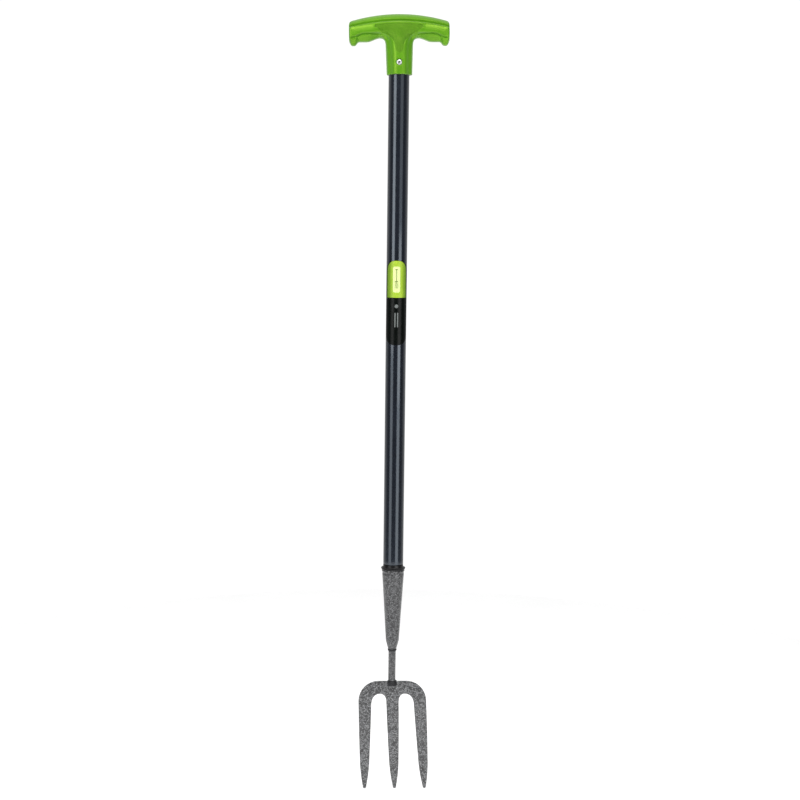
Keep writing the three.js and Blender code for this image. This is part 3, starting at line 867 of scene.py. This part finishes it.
def head_outline():
    """Front outline of the head as a closed ring of points in its own plane."""
    slope = (TINE_SPACING_TIP - TINE_SPACING_ROOT) / TINE_SPACING_RUN
    shoulder_x, shoulder_z = HEAD_HALF - SHOULDER_R, HEAD_TOP - SHOULDER_R

    def skew(z):
        return TINE_SKEW * (CROTCH - z)

    def middle(side, z):
        return side * (TINE_SPACING_TIP - slope * z) + skew(z)

    def feet(side):
        inner_z, outer_z = CROTCH - 11, CROTCH - 16
        inner = np.array([side * (TINE_ROOT_HALF + 0.4) + skew(inner_z), inner_z])
        outer = np.array([side * (TINE_SPACING_ROOT - TINE_ROOT_HALF - 0.4) + skew(outer_z), outer_z])
        return (outer, inner) if side < 0 else (inner, outer)

    def tine(side, start, end):
        """Down the left edge from start, round the point and up the right edge to end."""
        low = HEAD_TOP - HEAD_LENGTH
        half = [(MIDDLE_HALF, MIDDLE), (WAIST_HALF, WAIST), (OGIVE_HALF, OGIVE), (TIP_R, low + 1),
                (0.8 * TIP_R, low), (0, low)]
        left = [start] + [(middle(side, z) - w, z) for w, z in half]
        right = [end] + [(middle(side, z) + w, z) for w, z in half]
        run = bezier(left[0:3], 10) + bezier(left[2:5], 14) + bezier(left[4:7], 4)
        run += bezier(right[6:3:-1], 4) + bezier(right[4:1:-1], 14) + bezier(right[2::-1], 10)
        return run

    def crotch(side):
        apex = np.array([side * CROTCH_OFFSET, CROTCH])
        ease = 0.62

        def quarter(low):
            rise = low + np.array([0, ease * (apex[1] - low[1])])
            over = apex + np.array([ease * (low[0] - apex[0]), 0])
            return [low, rise, over, apex]

        first, second = feet(side)
        return bezier(quarter(first), 12) + bezier(quarter(second)[::-1], 12)

    ring = [np.array([-shoulder_x, HEAD_TOP])]
    for a in np.radians(np.linspace(90, 180, 19)[1:]):
        ring.append(np.array([-shoulder_x, shoulder_z]) + SHOULDER_R * np.array([math.cos(a), math.sin(a)]))
    ring += tine(-1, (-HEAD_HALF, shoulder_z), feet(-1)[0]) + crotch(-1)
    ring += tine(0, feet(-1)[1], feet(1)[0]) + crotch(1)
    ring += tine(1, feet(1)[1], (HEAD_HALF, shoulder_z))
    for a in np.radians(np.linspace(0, 90, 19)[1:]):
        ring.append(np.array([shoulder_x, shoulder_z]) + SHOULDER_R * np.array([math.cos(a), math.sin(a)]))
    return np.array(ring)


def outline_distance(ring, step=0.3, margin=4.0):
    """A lookup of signed distance to a closed outline, negative inside, read with linear blending."""
    low, high = ring.min(0) - margin, ring.max(0) + margin
    us, vs = np.arange(low[0], high[0], step), np.arange(low[1], high[1], step)
    u, v = np.meshgrid(us, vs, indexing="ij")
    best = np.full(u.shape, 1e9)
    inside = np.zeros(u.shape, bool)
    for a, b in zip(ring, np.roll(ring, -1, axis=0)):
        edge = b - a
        length = edge @ edge
        if length < 1e-9:
            continue
        t = np.clip(((u - a[0]) * edge[0] + (v - a[1]) * edge[1]) / length, 0, 1)
        best = np.minimum(best, (u - a[0] - t * edge[0]) ** 2 + (v - a[1] - t * edge[1]) ** 2)
        if a[1] != b[1]:
            crosses = ((a[1] > v) != (b[1] > v)) & (u < edge[0] * (v - a[1]) / edge[1] + a[0])
            inside ^= crosses
    far = np.where(inside, -1, 1) * np.sqrt(best)

    def read(x, z):
        fx = np.clip((x - low[0]) / step, 0, len(us) - 1.001)
        fz = np.clip((z - low[1]) / step, 0, len(vs) - 1.001)
        i, j = fx.astype(int), fz.astype(int)
        a, b = fx - i, fz - j
        return ((far[i, j] * (1 - a) + far[i + 1, j] * a) * (1 - b)
                + (far[i, j + 1] * (1 - a) + far[i + 1, j + 1] * a) * b)

    return read


def head_field():
    """Stamped plate with eased edges, thinned towards the ground-off tine points."""
    flat = outline_distance(head_outline())

    def field(x, y, z):
        d = flat(x + 0 * z, z + 0 * x)
        half = HEAD_THICK / 2 - TIP_THINNING * (1 - smoothstep(0, TIP_THIN_TO, z))
        ease = 0.7
        a = d + ease
        b = np.abs(y) - half + ease
        return np.hypot(np.maximum(a, 0), np.maximum(b, 0)) + np.minimum(np.maximum(a, b), 0) - ease

    return field


def head_place():
    """From the head's own upright plane to its place under the neck."""
    turn = Matrix.Rotation(-HEAD_LEAN, 4, "X") @ Matrix.Rotation(-HEAD_CANT, 4, "Y")
    return np.array(Matrix.Translation((HEAD_SIDE_SHIFT, NECK_SET_BACK, HEAD_TOP)) @ turn
                    @ Matrix.Translation((0, 0, -HEAD_TOP)))


def make_head(paint):
    step = 0.55
    low, high = (-46, -2, -1), (46, 2, HEAD_TOP + 1)
    points, faces = surface_net(head_field(), low, high, step)
    place = head_place()
    points = points @ place[:3, :3].T + place[:3, 3]
    head = mesh_object("head", points, faces)
    finish_piece(head, paint, "hammer_paint", "fork_head")


def head_weld_field(x, y, z):
    """Overlapping beads saddling the top edge of the head round the neck's end."""
    body = None
    beads = 9
    for k in range(beads):
        a = 2 * math.pi * k / beads + 0.3
        cx = 0.3 + 4.2 * math.cos(a)
        cy = NECK_SET_BACK + 3.8 * math.sin(a)
        cz = HEAD_TOP - 2.6 + 0.5 * math.sin(3 * a)
        lump = np.sqrt(((x - cx) / 2.6) ** 2 + ((y - cy) / 2.6) ** 2 + ((z - cz) / 3.6) ** 2) - 1
        lump = lump * 2.6
        body = lump if body is None else smooth_min(body, lump, 0.9)
    tall = (z - HEAD_TOP + 1.5) / 5
    core = np.sqrt(((x - 0.3) / 4.6) ** 2 + ((y - NECK_SET_BACK) / 4.2) ** 2 + tall ** 2) - 1
    return smooth_min(body, core * 4.2, 1.2)


def make_welds():
    paint = hammer_paint("weld_paint", 0.9)
    head_step, ring_step = 0.35, 0.3
    low, high = cad_box("head_weld")
    points, faces = surface_net(head_weld_field, low - 1, high + 1, head_step)
    finish_piece(mesh_object("head_weld_bead", points, faces), paint, "weld_paint", "head_weld")
    low, high = cad_box("socket_weld")
    middle = (low[2] + high[2]) / 2 + 0.3

    def ring_field(x, y, z):
        rho, angle = np.hypot(x, y), np.arctan2(y, x)
        swell = 0.12 * np.sin(15 * angle) + 0.06 * np.sin(4 * angle + 1)
        body = np.hypot((rho - NECK_R - 0.1) / 0.75, (z - middle) / 1.6) - 1 - swell
        return smooth_max(body, NECK_R + 0.05 - rho, 0.2)

    points, faces = surface_net(ring_field, low - 1, high + 1, ring_step)
    finish_piece(mesh_object("socket_weld_bead", points, faces), paint, "weld_paint", "socket_weld")


# ---------------------------------------------------------------- stage, light and camera

def make_floor():
    """A pale floor disc; the tool's lowest tip touches it."""
    rim = FLOOR_R
    profile = [(0, -3.0), (rim - 2, -3.0), (rim, -1.5), (rim - 2, 0), (0, 0)]
    floor = revolve("floor", profile, 128, sharp_deg=None)
    m = Shader("floor_paint", Roughness=0.8)
    m.set(Emission_Color=rgb(1, 1, 1), Emission_Strength=0.5)
    m.set(Base_Color=m.mix(m.ramp(m.noise(180, 3.0), 0.3, 0.7), rgb(0.86, 0.86, 0.86), rgb(0.9, 0.9, 0.9)))
    floor.data.materials.append(m.material)


def area_light(name, place, target, width, height, power):
    data = bpy.data.lights.new(name, "AREA")
    data.shape = "RECTANGLE"
    data.size, data.size_y = width, height
    data.energy = power
    light = bpy.data.objects.new(name, data)
    light.location = place
    light.rotation_mode = "QUATERNION"
    light.rotation_quaternion = (Vector(target) - Vector(place)).to_track_quat("-Z", "Y")
    light.visible_camera = False
    bpy.context.scene.collection.objects.link(light)


def softbox(name, azimuth, low, high, width, glow):
    """An upright soft box from low to high, all sizes in metres; glow is watts per square metre."""
    a, reach = math.radians(azimuth), 1.35
    place = Vector((reach * math.sin(a), -reach * math.cos(a), (low + high) / 2))
    area_light(name, place, (0, 0, place.z), width, high - low, glow * width * (high - low))


def make_lights():
    """Soft boxes in two parts on the left and three on the right, two top lights and a pale room."""
    softbox("left_upper", -42, 0.50, 1.60, 0.70, 10.8)
    softbox("left_lower", -42, -0.35, 0.48, 0.70, 5.2)
    softbox("right_lower", 37, -0.35, 0.35, 0.78, 7.0)
    softbox("right_middle", 36, 0.37, 0.80, 0.74, 11.0)
    softbox("right_upper", 37, 0.83, 1.60, 0.80, 2.8)
    area_light("front_top_light", (0, -2.0, 2.1), (0, 0, 0.7), 1.6, 0.7, 30)
    area_light("top_light", (0, -0.2, 2.6), (0, 0, 0), 2.4, 2.4, 16)

    world = bpy.data.worlds.new("studio")
    bpy.context.scene.world = world
    world.use_nodes = True
    tree = world.node_tree
    tree.nodes.clear()
    put = tree.links.new
    where = tree.nodes.new("ShaderNodeTexCoord")
    axes = tree.nodes.new("ShaderNodeSeparateXYZ")
    put(where.outputs["Generated"], axes.inputs[0])
    back = tree.nodes.new("ShaderNodeMapRange")
    back.interpolation_type = "SMOOTHSTEP"
    put(axes.outputs["Y"], back.inputs["Value"])
    room_front, room_back, ground = 0.12, 0.55, 1.05
    for key, v in (("From Min", -0.2), ("From Max", 0.5), ("To Min", room_front), ("To Max", room_back)):
        back.inputs[key].default_value = v
    room = tree.nodes.new("ShaderNodeBackground")
    room.inputs["Color"].default_value = rgb(1, 1, 1)
    put(back.outputs["Result"], room.inputs["Strength"])
    seen = tree.nodes.new("ShaderNodeBackground")
    seen.inputs["Color"].default_value = rgb(1, 1, 1)
    seen.inputs["Strength"].default_value = ground
    path = tree.nodes.new("ShaderNodeLightPath")
    both = tree.nodes.new("ShaderNodeMixShader")
    put(path.outputs["Is Camera Ray"], both.inputs[0])
    put(room.outputs[0], both.inputs[1])
    put(seen.outputs[0], both.inputs[2])
    out = tree.nodes.new("ShaderNodeOutputWorld")
    put(both.outputs[0], out.inputs["Surface"])


def make_camera():
    """Above the tool's middle and looking down on it, rolled a little so the shaft leans; in metres."""
    data = bpy.data.cameras.new("camera")
    data.lens = 62.28
    data.sensor_width = 36
    data.clip_start, data.clip_end = 0.05, 50
    camera = bpy.data.objects.new("camera", data)
    azimuth, pitch, roll = math.radians(-1), math.radians(6.971), math.radians(0.71)
    reach, height, shift = 1.7273, 0.7179, 0.0061
    right = Vector((math.cos(azimuth), math.sin(azimuth), 0))
    level = math.cos(pitch)
    back = Vector((math.sin(azimuth) * level, -math.cos(azimuth) * level, math.sin(pitch)))
    turn = Matrix((right, back.cross(right), back)).transposed() @ Matrix.Rotation(roll, 3, "Z")
    camera.rotation_mode = "QUATERNION"
    camera.rotation_quaternion = turn.to_quaternion()
    place = Vector((reach * math.sin(azimuth), -reach * math.cos(azimuth), height))
    camera.location = place + right * shift
    bpy.context.scene.collection.objects.link(camera)
    bpy.context.scene.camera = camera


# ---------------------------------------------------------------- build

def build():
    # painted shade: socket and neck get a darker, duller copy of the head's enamel, standing in for the
    # shade on them
    paint, shaded_upper_paint = hammer_paint(), hammer_paint("hammer_paint_upper_shaded", 0.32)
    metal, steel = bright_metal(), mandrel_steel()
    make_grip()
    make_rivet("grip_rivet", GRIP_RIVET_Z, POCKET_FLOOR, GRIP_RIVET_REACH, GRIP_RIVET_HEAD_R, False,
               metal, steel)
    make_shaft()
    make_label()
    make_bush()
    make_socket(shaded_upper_paint)
    seat = socket_radius(SOCKET_RIVET_Z) + 0.15
    make_rivet("socket_rivet", SOCKET_RIVET_Z, seat, SOCKET_RIVET_REACH, SOCKET_RIVET_HEAD_R, True,
               metal, steel)
    make_neck(shaded_upper_paint)
    make_head(paint)
    make_welds()
    make_floor()
    make_lights()
    make_camera()
    bpy.context.scene.view_settings.view_transform = "Standard"


build()
